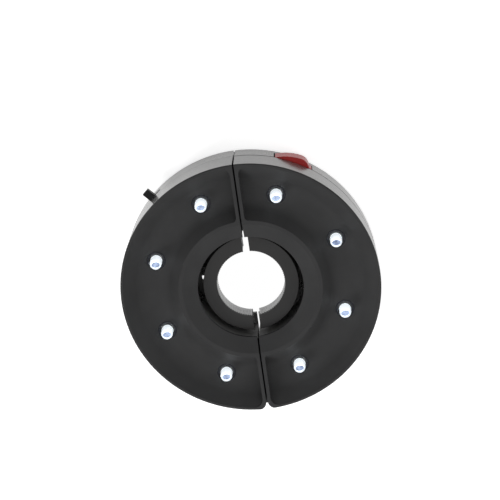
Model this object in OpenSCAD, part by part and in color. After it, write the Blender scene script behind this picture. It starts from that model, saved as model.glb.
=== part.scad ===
// Clamp-on patio umbrella light: a hinged ring in two halves that closes round the umbrella
// pole. The LED face points up (+Z) and the flat back lies on z = 0. The bore axis is Z, the
// hinge is at -Y, the latch end at +Y, and the halves part at x = 0 ("right" is +X).

/* [Body] */
// Outer diameter at the front lip
body_d = 165; // [162:1:180]
// Height from the flat back to the front lip
body_h = 37.4; // [36.8:0.2:42]
// Height of the rear covers, up to the parting line
cover_h = 15.7; // [15.5:0.1:16.5]
// How much narrower the outer radius is at the back (mould draft)
body_draft = 0.66; // [0:0.1:1.2]
// Thickness of the rim, the tray and the end walls
wall_t = 2.2; // [1.8:0.1:2.4]
// Thickness of the floor of the rear covers
floor_t = 2; // [1.6:0.1:2.4]
// Gap between the two halves
split_gap = 1; // [0.8:0.1:1.2]
// Radius of the rounded corners at the hinge
corner_r = 5; // [4.6:0.1:5.2]
// Rounding of the front lip
lip_round = 0.8; // [0.4:0.1:1]
// Width and depth of the groove along the parting line of the left half
groove_left = 0.1; // [0.05:0.05:0.5]
// Width and depth of the groove along the parting line of the right half
groove_right = 0.45; // [0.05:0.05:0.5]

/* [LED tray] */
// Depth of the tray at the LEDs
tray_depth = 9.4; // [8:0.1:10]
// Width of the front lip and of the ribs along the split
lip_w = 1.9; // [1.6:0.1:2.2]
// Radius of the tray's flat ring, inner edge
tray_flat_in = 60; // [59.5:0.1:60.5]
// Radius of the tray's flat ring, outer edge
tray_flat_out = 63; // [62.5:0.1:63.5]
// Radius of the tray's inner bend
tray_bend_in = 12.5; // [11:0.1:13]
// Radius of the tray's outer bend
tray_bend_out = 17; // [15:0.1:18]
// Slope of the tray towards the crest
tray_slope_in = 46; // [44:1:48]
// Slope of the tray towards the lip
tray_slope_out = 38; // [36:1:40]
// Radius of the tray's corners at the lip
tray_corner = 5; // [3:0.5:6]
// Radius of the tray's corners at the crest
tray_corner_in = 3; // [2:0.5:4]

/* [Funnel] */
// Radius of the funnel's opening
funnel_r = 33.6; // [33.4:0.1:34.4]
// Radius where the funnel meets the crest
funnel_top_r = 43.2; // [42.5:0.1:43.6]
// Depth of the funnel's opening below the lip
funnel_drop = 4.5; // [4:0.1:5]
// Thickness of the funnel's edge
funnel_edge_t = 1.6; // [1.2:0.1:2]
// Inner radius of the well that holds the jaws
well_r = 36; // [35.6:0.1:36.4]
// Thickness of the well wall
well_t = 2; // [1.6:0.1:2.2]
// Radius of the opening in the back
back_r = 28.5; // [28:0.1:29]

/* [LEDs] */
// LEDs in each half
led_count = 4; // [2:1:5]
// Angle between neighbouring LEDs
led_pitch = 45; // [30:1:48]
// Radius of the LED circle
led_ring_r = 62.1; // [61:0.1:63]
// Diameter of an LED
led_d = 7.8; // [5:0.1:8]
// How far an LED's tip stands in front of the lip
led_proud = 0.1; // [0:0.1:3]
// Diameter of an LED's flange
led_flange_d = 9; // [8.8:0.1:9.6]
// Thickness of an LED's flange
led_flange_t = 1.2; // [1:0.1:1.4]
// Thickness of the LED board
board_t = 1.6; // [1:0.1:1.8]
// Inner radius of the LED board
board_in_r = 55; // [54:0.1:56]
// Outer radius of the LED board
board_out_r = 68.5; // [67:0.1:69]
// Angle that the LED board covers
board_angle = 153; // [146:1:154]

/* [Pole grip] */
// Diameter of the pole that the closed jaws fit at rest
pole_d = 43; // [42.5:0.05:45]
// Travel of each jaw
jaw_travel = 3.2; // [2:0.1:3.4]
// Outer radius of a jaw
jaw_r = 31.5; // [31:0.1:31.8]
// How far a jaw's outer round is set towards the axis
jaw_inset = 1.2; // [0.8:0.1:1.6]
// Height of a jaw's front face above the back
jaw_top = 25.6; // [25:0.1:26]
// Height of the gripping part of a jaw
jaw_grip_h = 13; // [11:0.1:14]
// Width of the slot between the jaws
jaw_slot = 4.2; // [3:0.1:4.5]
// Wall thickness of a jaw
jaw_t = 1.8; // [1.6:0.1:2.2]
// Thickness of the rubber pads
pad_t = 1.9; // [1.5:0.1:2.2]
// How far a pad stands proud of the jaw's lips
pad_proud = 0.4; // [0.2:0.1:0.6]
// Height of the guide posts above the back
post_z = 11.8; // [11:0.1:12.2]
// Distance of the guide posts from the middle
post_y = 10; // [9:0.5:11]
// Diameter of a guide post
post_d = 2.4; // [2:0.1:2.6]
// Diameter of the boss that a guide post stands on
post_boss_d = 5.4; // [5:0.1:6]
// Wire of the jaw springs
jaw_wire = 0.45; // [0.3:0.05:0.5]
// Turns of a jaw spring
jaw_turns = 3.5; // [2.5:0.5:3.5]
// Width of the jaw's guide key
key_w = 2.4; // [2:0.1:3]

/* [Hinge] */
// Diameter of the hinge pin
pin_d = 2.5; // [2:0.1:2.6]
// Diameter of a hinge knuckle
knuckle_d = 6; // [5.8:0.1:6.2]
// Heights of the gaps between the knuckles
knuckle_gaps = [7.6, 20.6];
// Height of the hinge above the back
hinge_low = 0.8; // [0.6:0.1:1.2]
// Top of the hinge
hinge_top = 26.6; // [26:0.1:27]
// Gap between two knuckles
knuckle_gap = 0.3; // [0.2:0.05:0.5]

/* [Batteries] */
// Diameter of a cell
cell_d = 14.5; // [14:0.1:14.5]
// Length of a cell with its nub
cell_l = 50.5; // [49.5:0.1:50.5]
// Distance between the axes of the two cells
cell_pitch = 14.8; // [14.6:0.1:15]
// Radius of the inner cell's axis
cell_in_x = 50.8; // [50.6:0.1:51]
// Clear length of the battery bay
bay_l = 56; // [55.5:0.1:56]
// Thickness of the walls of the battery bay
bay_t = 1.6; // [1.2:0.1:1.6]
// Thickness of a battery door
door_t = 1.6; // [1.2:0.1:1.8]
// How far a door lies inside the back
door_sink = 0.3; // [0.2:0.1:0.4]
// Ledge that a door closes on
door_ledge = 1.2; // [1:0.1:1.4]
// Wire of the battery springs
cell_wire = 0.7; // [0.5:0.1:0.8]
// Turns of a battery spring
cell_turns = 4; // [3:0.5:4]
// Thickness of the contact plates
contact_t = 0.4; // [0.3:0.1:0.5]

/* [Latch] */
// Angle of the latch's flush end from the split
latch_angle = 18.3; // [18:0.1:19]
// Length of the latch along the rim
latch_l = 24; // [22:0.5:24]
// Height of the latch above the back
latch_z = 5.9; // [5.5:0.1:6.5]
// How far the latch bulges above its flush end
latch_bulge = 2.4; // [1.6:0.1:2.8]
// Gap between the latch's flush end and the rear cover
latch_gap = 0.9; // [0.4:0.1:1.2]
// Diameter of the latch pin
latch_pin_d = 2; // [1.6:0.1:2.2]
// Wire of the latch spring
latch_wire = 0.5; // [0.4:0.05:0.5]
// Turns of the latch spring
latch_turns = 5; // [3:0.5:5]

/* [Switch] */
// Angle of the switch from the split
switch_angle = 42.3; // [41:0.1:43]
// Height of the switch above the back
switch_z = 11; // [10.5:0.1:11.2]
// Width of the switch knob
knob_w = 4.8; // [4:0.1:5]
// Thickness of the switch knob
knob_t = 3.4; // [3:0.1:3.6]
// How far the knob stands out of the rim
knob_proud = 5.8; // [3:0.1:7]
// Travel of the knob
knob_travel = 4.5; // [3:0.1:4.6]

/* [Fasteners] */
// Radius and angle from the split of the screws near the split
screw_a = [62, 7.5];
// Radius and angle from the split of the screws near the rim
screw_b = [73, 57];
// Diameter of a screw's shank
screw_d = 2.8; // [2.5:0.1:3]
// Diameter of a screw's head
screw_head_d = 5.4; // [5:0.1:5.6]
// Length of a cover screw under its head
screw_l = 20; // [17:0.5:21]
// Diameter of a screw boss
boss_d = 6.6; // [6.2:0.1:7]
// Diameter of a wire's insulation
wire_d = 1.3; // [1:0.1:1.4]

/* [Hidden] */

$fn = 96;
eps = 0.01;
run_fit = 0.05;                      // radial clearance of a pin in its bore
clear = 0.3;                         // clearance between pieces that pass each other
far = 2 * body_d;                    // reach of a cutting tool
body_r = body_d / 2;
half_gap = split_gap / 2;
plastic = [0.13, 0.13, 0.14];
dark_plastic = [0.1, 0.1, 0.1];
steel = [0.75, 0.76, 0.78];

// Tray: its slopes end on the plane of the lip
tray_z = body_h - tray_depth;
rib_x = half_gap + lip_w + 0.2;
function slope_foot(centre, r, side, slope) = centre + side * r * sin(slope);
function slope_top(centre, r, side, slope, z) =
  slope_foot(centre, r, side, slope)
  + side * (z - tray_z - tray_bend(side) + r * cos(slope)) / tan(slope);
function tray_bend(side) = side < 0 ? tray_bend_in : tray_bend_out;
crest_r = slope_top(tray_flat_in, tray_bend_in, -1, tray_slope_in, body_h);
lip_r = body_r - lip_w;
cavity_r = body_r - wall_t;
well_out_r = well_r + well_t;

// Hinge: the pin lies so far in that a knuckle just reaches the rim
pin_r = pin_d / 2;
knuckle_r = knuckle_d / 2;
hinge_y = -(body_r - knuckle_r);
corner_x = half_gap + corner_r;
corner_y = -sqrt(pow(body_r - corner_r, 2) - pow(corner_x, 2));
relief_r = knuckle_r + 0.4;

// LEDs and their board
led_r = led_d / 2;
panel_low = tray_z - wall_t;
led_flange_z = panel_low - 0.2 - led_flange_t;
board_z = led_flange_z - board_t - 0.2;
led_angles = [for (i = [0:led_count - 1]) 90 + (i - (led_count - 1) / 2) * led_pitch];
board_screw_angles = [90 - led_pitch, 90 + led_pitch];
board_screw_d = 2;
board_screw_head = 3.6;
board_screw_head_h = 1.3;
board_screw_l = tray_z - 1.4 - board_z;
lead_d = 0.6;
lead_pitch = 2.54;
lead_tail = 1;                       // length of a lead below the board
led_room = 0.25;                     // clearance round an LED in its hole
led_sink = 1.4;                      // depth of the cone round an LED's hole
led_sink_w = 1.7;                    // width of that cone
resistor_ring_r = led_ring_r - 4.2;
resistor_turn = led_pitch * 0.34;    // angle from an LED to the resistor next to it
resistor_l = 3.2;
resistor_w = 2;
resistor_h = 1.1;
board_boss_r = 2.4;

// Jaws
bore_r = pole_d / 2;
pad_out_r = bore_r + pad_t;
jaw_lip_r = bore_r + pad_proud;
jaw_low = jaw_top - jaw_grip_h;
jaw_foot = floor_t + clear;
jaw_end_x = jaw_slot / 2;
jaw_lip_h = 1;
jaw_plate_t = 2.5;
jaw_rib_t = 1.6;
jaw_rib_angles = [40, 140];
post_root_x = sqrt(pow(pad_out_r + jaw_t / 2, 2) - pow(post_y, 2));
post_r = post_d / 2;
post_boss_r = post_boss_d / 2;
post_boss_x = sqrt(pow(jaw_r, 2) - pow(post_y, 2)) - jaw_inset + 0.9;
spring_seat_depth = 0.6;             // how deep a jaw spring sits in the well wall
post_wall_t = 1.9;                   // wall between a spring's seat and the post's head
spring_seat_x = sqrt(pow(well_r, 2) - pow(post_y, 2)) + spring_seat_depth;
post_wall_x = spring_seat_x + post_wall_t;
post_head_t = 0.7;
post_head_lip = 0.7;                 // how far the post's head stands out round the post
jaw_spring_r = (post_boss_d - jaw_wire) / 2 - 0.15;
key_x = back_r - 0.1;
notch_x = key_x + jaw_travel + 1;

// Batteries, in the right half; the left half mirrors them
cell_r = cell_d / 2;
cell_z = floor_t + clear + cell_r;
cell_axes = [cell_in_x, cell_in_x + cell_pitch];
bay_x = [cell_axes[0] - cell_r - 0.35, cell_axes[1] + cell_r + 0.35];
bay_y = bay_l / 2;
bay_top = cell_z + cell_r + clear;
bay_roof_z = bay_top + 1.4;
door_gap = 0.2;
door_x = [bay_x[0] - door_ledge, bay_x[1] + door_ledge];
door_y = bay_y + door_ledge + 0.2;
tab_w = 2.6;
tab_x = [door_x[0] + 2.8, door_x[1] - 2.8];
tab_reach = 1.9;
nub_l = 1;
wire_landings = [[56, 18], [62, 17]];
cell_spring_l = bay_l - 2 * contact_t - cell_l - 0.15;
cell_spring_r = 3.2;
contact_w = 10;
solder_tab_w = 2;
solder_tab_h = 1.6;                  // height of a solder tab above the bay's roof
nub_r = 2.7;
door_tab_t = 0.9;                    // thickness of a door tab behind the floor
door_pocket_h = 2.4;                 // height of the pockets that the tabs swing in
finger_w = 10;                       // width of the spring finger at a door's free end
thumb_r = 16;                        // ball that hollows a door for the thumb

// Latch, seen along -Z: u runs along the rim from its flush end, v points outwards
latch_h = cover_h - clear - latch_z;
latch_pivot = [3.5, -6.5];
latch_arc_u = 12.3;
latch_arc_r = (pow(latch_arc_u, 2) + pow(latch_bulge, 2)) / (2 * latch_bulge);
latch_under = -3.2;
latch_hub_r = 3.2;
rim_r = body_r - clear;
latch_pin_r = latch_pin_d / 2;
latch_spring_u = 18.6;
latch_seat_v = -9.2;
latch_spring_r = 1.9;
latch_relief_u = 9;                  // where the web beside the pivot ends
latch_pocket_v = -6.7;               // how deep the latch's pocket goes behind the rim
latch_pocket_end = latch_l + 0.6;
latch_end_u = 16.5;
latch_end_r = 7;
latch_pivot_at = [
  (rim_r + latch_pivot[1]) * sin(latch_angle) + latch_pivot[0] * cos(latch_angle),
  (rim_r + latch_pivot[1]) * cos(latch_angle) - latch_pivot[0] * sin(latch_angle)];
arm_t = 3;
arm_h = 4;
arm_drop = 0.77;                     // how far the arm's inner face lies inside the pivot
arm_y = latch_pivot_at[1] - arm_drop;
hook_reach = 5;
hook_drop = 1.6;
latch_slot_y = [arm_y - hook_drop - 0.4, arm_y + arm_t + 4.1];

// Switch
switch_body_size = [14, 7, 6.6];
switch_seat_r = body_r - wall_t - 1.6;
knob_slot_w = knob_w + 0.4;

// Cover screws
screw_r = screw_d / 2;
screw_head_r = screw_head_d / 2;
boss_r = boss_d / 2;
screw_head_h = 2;
screw_sink = 3;
screw_spots = [for (s = [1, -1]) each [
  [screw_a[0] * sin(screw_a[1]), s * screw_a[0] * cos(screw_a[1])],
  [screw_b[0] * sin(screw_b[1]), s * screw_b[0] * cos(screw_b[1])]]];

function rim_at(z) = body_r - body_draft * (1 - z / body_h);
function polar(r, a) = [r * sin(a), r * cos(a)];

// ---------- general helpers ----------

module upright(x0, x1, y0, y1, z0, z1)
  translate([x0, y0, z0]) cube([x1 - x0, y1 - y0, z1 - z0]);

module disc(r, z0, z1) translate([0, 0, z0]) cylinder(r = r, h = z1 - z0);

// Mirrors its children in the split when side is -1
module on_side(side) mirror([side < 0 ? 1 : 0, 0, 0]) children();

// Places its children where u, v and z mean the latch's own directions
module at_latch() rotate([0, 0, -latch_angle]) translate([0, rim_r, 0]) children();

// A round wire from point to point, with a ball at each bend
module round_wire(points, r) {
  for (i = [0:len(points) - 2]) {
    step = points[i + 1] - points[i];
    reach = norm(step);
    translate(points[i])
      rotate([0, acos(step[2] / reach), atan2(step[1], step[0])])
        cylinder(r = r, h = reach, $fn = 24);
  }
  for (i = [1:len(points) - 2]) translate(points[i]) sphere(r = r + eps, $fn = 32);
}

// An open coil along Z from z = 0 to z = length, as one unbroken tube with closed ends
module coil(r, wire, length, turns) {
  rings = ceil(turns * 8);
  sides = 6;
  rise = (length - wire) / rings;
  pitch = rise * 8;
  lean = atan2(pitch, 2 * PI * r);
  function ring_point(i, k) =
    let (a = i * 45, b = k * 360 / sides, out = wire / 2 * cos(b), up = wire / 2 * sin(b))
      [(r + out) * cos(a) + up * sin(lean) * sin(a),
       (r + out) * sin(a) - up * sin(lean) * cos(a),
       wire / 2 + i * rise + up * cos(lean)];
  points = [for (i = [0:rings]) for (k = [0:sides - 1]) ring_point(i, k)];
  sides_of_tube = [for (i = [0:rings - 1]) for (k = [0:sides - 1]) each [
    [i * sides + k, i * sides + (k + 1) % sides, (i + 1) * sides + k],
    [i * sides + (k + 1) % sides, (i + 1) * sides + (k + 1) % sides, (i + 1) * sides + k]]];
  start_cap = [for (k = [1:sides - 2]) [0, k + 1, k]];
  end_cap = [for (k = [1:sides - 2]) [rings * sides, rings * sides + k, rings * sides + k + 1]];
  echo("least gap between turns", pitch - wire);
  polyhedron(points = points, faces = concat(sides_of_tube, start_cap, end_cap));
}

// ---------- shared shapes of a half, drawn for the right side ----------

// Everything on the right of the split, with the rounded corner at the hinge
module half_space() difference() {
  upright(half_gap, far, -far, far, -far, far);
  difference() {
    upright(-far, corner_x, -far, corner_y, -far, far);
    translate([corner_x, corner_y, -far]) cylinder(r = corner_r, h = 2 * far);
  }
}

// The space inside the end walls, clear of the block that carries the hinge
module inner_space(x) difference() {
  upright(x, far, -far, far, -far, far);
  translate([0, hinge_y, -far]) cylinder(r = relief_r + 1.8, h = 2 * far);
  difference() {
    upright(-far, corner_x, -far, corner_y, -far, far);
    translate([corner_x, corner_y, -far]) cylinder(r = corner_r - wall_t, h = 2 * far);
  }
}

// A knuckle from z0 to z1 with the web that joins it to its own half
module knuckle(z0, z1) intersection() {
  union() {
    translate([0, hinge_y, z0]) cylinder(r = knuckle_r, h = z1 - z0);
    upright(0, corner_x, hinge_y - knuckle_r + 0.6, hinge_y + knuckle_r - 0.2, z0, z1);
  }
  disc(body_r, z0, z1);
}

// Room for the other half's knuckle
module knuckle_room(z0, z1) translate([0, hinge_y, z0]) cylinder(r = relief_r, h = z1 - z0);

module hinge_bore() translate([0, hinge_y, floor_t])
  cylinder(r = pin_r + run_fit, h = hinge_top - 0.5 - floor_t);

// ---------- front housing ----------

// The tray's cross section above its surface, lowered by drop for the underside
module tray_section(drop = 0) {
  r_in = tray_bend_in + drop;
  r_out = tray_bend_out + drop;
  z_in = tray_z + tray_bend_in;
  z_out = tray_z + tray_bend_out;
  high = body_h + 4;
  foot_in = [slope_foot(tray_flat_in, r_in, -1, tray_slope_in), z_in - r_in * cos(tray_slope_in)];
  foot_out = [slope_foot(tray_flat_out, r_out, 1, tray_slope_out), z_out - r_out * cos(tray_slope_out)];
  top_in = foot_in[0] - (high - foot_in[1]) / tan(tray_slope_in);
  top_out = foot_out[0] + (high - foot_out[1]) / tan(tray_slope_out);
  polygon([[top_in, high], foot_in, [tray_flat_in, tray_z - drop], [tray_flat_out, tray_z - drop],
    foot_out, [top_out, high]]);
  translate([tray_flat_in, z_in]) circle(r = r_in);
  translate([tray_flat_out, z_out]) circle(r = r_out);
}

// The plan of the tray: a half ring inside the lip, the crest and the ribs, with round corners
module tray_plan() {
  c_out = [rib_x + tray_corner, sqrt(pow(lip_r - tray_corner, 2) - pow(rib_x + tray_corner, 2))];
  c_in = [rib_x + tray_corner_in,
    sqrt(pow(crest_r + tray_corner_in, 2) - pow(rib_x + tray_corner_in, 2))];
  difference() {
    circle(r = lip_r);
    circle(r = crest_r);
    translate([rib_x - far, -far]) square([far, 2 * far]);
    for (s = [1, -1]) mirror([0, s < 0 ? 1 : 0]) {
      difference() {
        polygon([c_out, [rib_x - 1, c_out[1]], [rib_x - 1, body_r], c_out * 1.2]);
        translate(c_out) circle(r = tray_corner);
      }
      difference() {
        polygon([c_in, [rib_x - 1, c_in[1]], [rib_x - 1, crest_r - 4], c_in * 0.85]);
        translate(c_in) circle(r = tray_corner_in);
      }
    }
  }
}

// Cross section of the ring from the parting line up to a flat front
module front_section(groove) {
  edge_z = body_h - funnel_drop;
  polygon([[well_r, cover_h], [rim_at(cover_h) - groove, cover_h],
    [rim_at(cover_h), cover_h + groove], [body_r, body_h - lip_round],
    [body_r - lip_round, body_h], [funnel_top_r, body_h], [funnel_r, edge_z],
    [funnel_r, edge_z - funnel_edge_t], [well_r, edge_z - funnel_edge_t]]);
  translate([body_r - lip_round, body_h - lip_round]) circle(r = lip_round, $fn = 32);
}

// Cross section of the hollow behind the tray and the funnel
module front_hollow_section() difference() {
  polygon([[well_out_r, cover_h - 1], [cavity_r - body_draft / 2, cover_h - 1],
    [cavity_r, body_h - lip_round - wall_t], [well_out_r, body_h - lip_round - wall_t]]);
  tray_section(wall_t);
  polygon([[funnel_r, body_h - funnel_drop - wall_t], [funnel_top_r + 0.3, body_h - wall_t],
    [funnel_top_r + 0.3, body_h], [funnel_r, body_h]]);
}

module led_holes() for (a = led_angles) translate(concat(polar(led_ring_r, a), 0)) {
  disc(led_r + led_room, panel_low - 1, tray_z);
  // the cone, carried on above the tray
  translate([0, 0, tray_z - led_sink])
    cylinder(r1 = led_r + led_room, r2 = led_r + led_room + 2 * led_sink_w, h = 2 * led_sink);
}

// Bosses that hang from the front housing: for the cover screws, the board screws and latch pin
module front_bosses(with_latch) {
  for (p = screw_spots) translate([p[0], p[1], 0]) disc(boss_r, cover_h, body_h - 1);
  for (a = board_screw_angles) translate(concat(polar(led_ring_r, a), 0))
    disc(board_boss_r, board_z + board_t, tray_z);
  if (with_latch) translate(concat(latch_pivot_at, 0))
    disc(latch_hub_r, cover_h, body_h - 1);
}

module front_holes(with_latch) {
  for (p = screw_spots) translate([p[0], p[1], 0])
    disc(screw_r + run_fit, cover_h - 1, screw_sink + screw_l + 0.5);
  for (a = board_screw_angles) translate(concat(polar(led_ring_r, a), 0))
    disc(board_screw_d / 2 + run_fit, board_z, tray_z - 1.2);
  if (with_latch) translate(concat(latch_pivot_at, 0))
    disc(latch_pin_r + run_fit, cover_h - 1, cover_h + 3);
  led_holes();
}

module front_half(side, with_latch) {
  groove = side > 0 ? groove_right : groove_left;
  own = side > 0 ? [cover_h, knuckle_gaps[1]] : [knuckle_gaps[1] + knuckle_gap, hinge_top];
  other = side > 0 ? [knuckle_gaps[1], hinge_top + knuckle_gap]
    : [cover_h - 1, knuckle_gaps[1] + knuckle_gap];
  difference() {
    union() {
      intersection() {
        difference() {
          rotate_extrude() front_section(groove);
          intersection() {
            rotate_extrude() tray_section();
            translate([0, 0, tray_z - 1]) linear_extrude(tray_depth + 4) tray_plan();
          }
          intersection() {
            rotate_extrude() front_hollow_section();
            inner_space(half_gap + wall_t);
          }
        }
        half_space();
      }
      intersection() {
        front_bosses(with_latch);
        difference() {
          rotate_extrude() front_section(groove);
          rotate_extrude() tray_section();
        }
      }
      knuckle(own[0], own[1]);
    }
    knuckle_room(other[0], other[1]);
    hinge_bore();
    front_holes(with_latch);
  }
}

// ---------- rear cover ----------

module rear_section(groove) polygon([[back_r, 0], [rim_at(0) - lip_round, 0],
  [rim_at(0), lip_round], [rim_at(cover_h), cover_h - groove], [rim_at(cover_h) - groove, cover_h],
  [well_r, cover_h], [well_r, floor_t], [back_r, floor_t]]);

module rear_hollow_section() polygon([[well_out_r, floor_t], [rim_at(0) - wall_t, floor_t],
  [rim_at(cover_h) - wall_t, cover_h + 1], [well_out_r, cover_h + 1]]);

module bay_block() intersection() {
  upright(bay_x[0] - bay_t, bay_x[1] + bay_t, -bay_y - bay_t - 0.2, bay_y + bay_t + 0.2, 0, bay_roof_z);
  disc(cavity_r - 0.6, 0, bay_roof_z);
}

module bay_hollow() {
  upright(bay_x[0], bay_x[1], -bay_y, bay_y, -1, bay_top);
  // recess of the door
  upright(door_x[0], door_x[1], -door_y, door_y, -1, floor_t);
  // pockets that the door's tabs swing in
  for (x = tab_x) upright(x - tab_w / 2 - clear, x + tab_w / 2 + clear,
    -bay_y - bay_t - 1, -bay_y + eps, floor_t, floor_t + door_pocket_h);
}

// Flat bosses where the jaws' guide posts pass through the well wall
module post_bosses() for (s = [1, -1]) translate([well_r, s * post_y, post_z])
  rotate([0, 90, 0]) cylinder(r = post_boss_r + 0.6, h = post_wall_x - well_r);

module post_holes() for (s = [1, -1]) translate([well_r - 6, s * post_y, post_z])
  rotate([0, 90, 0]) {
    cylinder(r = post_r + 0.07, h = post_wall_x - well_r + 8);
    cylinder(r = post_boss_r + 0.2, h = spring_seat_x - well_r + 6);
  }

module rear_half(side, with_latch) {
  groove = side > 0 ? groove_right : groove_left;
  own = side > 0 ? [knuckle_gaps[0] + knuckle_gap, cover_h] : [hinge_low, knuckle_gaps[0]];
  other = side > 0 ? [-1, knuckle_gaps[0] + knuckle_gap] : [knuckle_gaps[0], cover_h + 1];
  difference() {
    union() {
      intersection() {
        union() {
          difference() {
            rotate_extrude() rear_section(groove);
            intersection() {
              rotate_extrude() rear_hollow_section();
              inner_space(half_gap + wall_t);
            }
          }
          bay_block();
        }
        half_space();
      }
      post_bosses();
      for (p = screw_spots) translate([p[0], p[1], 0]) disc(boss_r, 0, cover_h);
      if (with_latch) latch_supports();
      if (!with_latch) switch_supports();
      knuckle(own[0], own[1]);
    }
    bay_hollow();
    post_holes();
    knuckle_room(other[0], other[1]);
    hinge_bore();
    for (p = screw_spots) translate([p[0], p[1], 0]) {
      disc(screw_head_r + 0.2, -1, screw_sink);
      disc(screw_r + 0.2, -1, cover_h + 1);
    }
    // slots in the roof of the battery bay for the contacts' solder tabs
    for (x = cell_axes) upright(x - solder_tab_w / 2 - 0.1, x + solder_tab_w / 2 + 0.1,
      bay_y - contact_t - 0.1, bay_y, bay_top - 1, bay_roof_z + 1);
    // notch that guides the jaw's key; it goes through the floor on the left only
    upright(back_r - 1, notch_x, -key_w / 2 - 0.2, key_w / 2 + 0.2,
      side < 0 ? -1 : floor_t - 1.3, floor_t + eps);
    // slot that the latch's arm passes through
    upright(-1, half_gap + wall_t + 1, latch_slot_y[0], latch_slot_y[1],
      latch_z - clear, latch_z + arm_h + clear);
    if (with_latch) {
      at_latch() upright(-latch_gap, latch_pocket_end, latch_pocket_v, far,
        latch_z - clear, cover_h + 1);
      translate(concat(latch_pivot_at, floor_t))
        cylinder(r = latch_pin_r + run_fit, h = latch_z);
    }
    if (!with_latch) switch_slot();
  }
}

// Pivot boss and spring seat of the latch
module latch_supports() {
  translate(concat(latch_pivot_at, 0)) disc(latch_hub_r, 0, latch_z - 0.2);
  at_latch() upright(latch_spring_u - 3, latch_spring_u + 3, latch_seat_v - 1.8, latch_seat_v,
    0, latch_z + latch_h);
}

// Pedestal and end stops that hold the switch body
module switch_supports() rotate([0, 0, -switch_angle]) {
  x0 = -knob_travel / 2 - switch_body_size[0] / 2;
  x1 = x0 + switch_body_size[0];
  y0 = switch_seat_r - switch_body_size[1];
  low = switch_z - switch_body_size[2] / 2;
  upright(x0 + 2, x1 - 2, y0 + 1, switch_seat_r - 1, 0, low);
  upright(x0 - 2, x0 - 0.1, y0, switch_seat_r - 1, 0, switch_z + 2);
  upright(x1 + 0.1, x1 + 2, y0, switch_seat_r - 1, 0, switch_z + 2);
}

module switch_slot() rotate([0, 0, -switch_angle])
  upright(-knob_travel - knob_slot_w / 2, knob_slot_w / 2, switch_seat_r, far,
    switch_z - knob_t / 2 - 0.2, switch_z + knob_t / 2 + 0.2);

// ---------- small pieces of a half ----------

module led_set() for (a = led_angles) translate(concat(polar(led_ring_r, a), 0)) {
  tip = body_h + led_proud;
  disc(led_flange_d / 2, led_flange_z, led_flange_z + led_flange_t);
  disc(led_r, led_flange_z, tip - led_r);
  translate([0, 0, tip - led_r]) sphere(r = led_r);
  for (s = [1, -1]) translate([s * lead_pitch / 2, 0, 0])
    disc(lead_d / 2, board_z - lead_tail, led_flange_z + eps);
}

module led_board() difference() {
  union() {
    intersection() {
      difference() {
        disc(board_out_r, board_z, board_z + board_t);
        disc(board_in_r, board_z - 1, board_z + board_t + 1);
      }
      linear_extrude(body_h) polygon(concat([[0, 0]],
        [for (i = [-3:3]) polar(2 * board_out_r, 90 + i * board_angle / 6)]));
    }
    // resistors on the back of the board, one between each two LEDs
    for (i = [0:led_count - 2])
      translate(concat(polar(resistor_ring_r, led_angles[i] + resistor_turn), 0))
        upright(-resistor_l / 2, resistor_l / 2, -resistor_w / 2, resistor_w / 2,
          board_z - resistor_h, board_z + eps);
  }
  for (a = led_angles) translate(concat(polar(led_ring_r, a), 0))
    for (s = [1, -1]) translate([s * lead_pitch / 2, 0, 0])
      disc(lead_d / 2 + run_fit, board_z - 2, board_z + board_t + 1);
  for (a = board_screw_angles) translate(concat(polar(led_ring_r, a), 0))
    disc(board_screw_d / 2 + 0.1, board_z - 2, board_z + board_t + 1);
}

module screw(d, head_d, head_h, length) {
  translate([0, 0, -eps]) cylinder(r = d / 2, h = length + eps);
  difference() {
    translate([0, 0, -head_h]) cylinder(r = head_d / 2, h = head_h);
    // cross recess
    for (a = [0, 90]) rotate([0, 0, a])
      upright(-head_d * 0.3, head_d * 0.3, -head_d * 0.07, head_d * 0.07, -head_h - 1, -head_h * 0.35);
  }
}

module board_screws() for (a = board_screw_angles) translate(concat(polar(led_ring_r, a), board_z))
  screw(board_screw_d, board_screw_head, board_screw_head_h, board_screw_l);

module cover_screws() for (p = screw_spots) translate([p[0], p[1], screw_sink])
  screw(screw_d, screw_head_d, screw_head_h, screw_l);

// ---------- pole grip ----------

module jaw_outline(r) translate([-jaw_inset, 0, 0]) disc(r, -1, body_h);

// The space between the grip wall, the skirt, the end walls and the front plate
module jaw_hollow() difference() {
  intersection() {
    jaw_outline(jaw_r - jaw_t);
    upright(jaw_end_x + jaw_t, far, -far, far, -1, jaw_top - jaw_plate_t);
  }
  disc(pad_out_r + jaw_t, jaw_low, jaw_top);
  for (a = jaw_rib_angles) rotate([0, 0, -a])
    upright(-jaw_rib_t / 2, jaw_rib_t / 2, 0, far, jaw_low, body_h);
}

// A guide post on its boss, with the head that stops it behind the well wall
module guide_post() rotate([0, 90, 0]) {
  head_at = post_wall_x + 0.1 - post_root_x;
  cylinder(r = post_boss_r, h = post_boss_x - post_root_x);
  cylinder(r = post_r, h = head_at + post_head_t);
  translate([0, 0, head_at]) cylinder(r = post_r + post_head_lip, h = post_head_t);
}

module grip_jaw() difference() {
  union() {
    difference() {
      intersection() {
        jaw_outline(jaw_r);
        upright(jaw_end_x, far, -far, far, jaw_foot, jaw_top);
      }
      jaw_hollow();
    }
    for (s = [1, -1]) translate([post_root_x, s * post_y, post_z]) guide_post();
    // guide key below the skirt, and the block that joins them
    upright(key_x - 2, key_x, -key_w / 2, key_w / 2, floor_t - 1, jaw_foot + 6);
    upright(key_x - 1, key_x + 0.8, -key_w / 2, key_w / 2, jaw_foot + 0.5, jaw_foot + 6);
  }
  disc(jaw_lip_r, -1, body_h);
  // below the grip everything stands back from the pole and from the split
  disc(pad_out_r + jaw_t + 1, -1, jaw_low);
  upright(-far, jaw_end_x + jaw_t + 1, -far, far, -1, jaw_low);
  // groove that holds the pad
  disc(pad_out_r, jaw_low + jaw_lip_h, jaw_top - jaw_lip_h);
}

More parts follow.
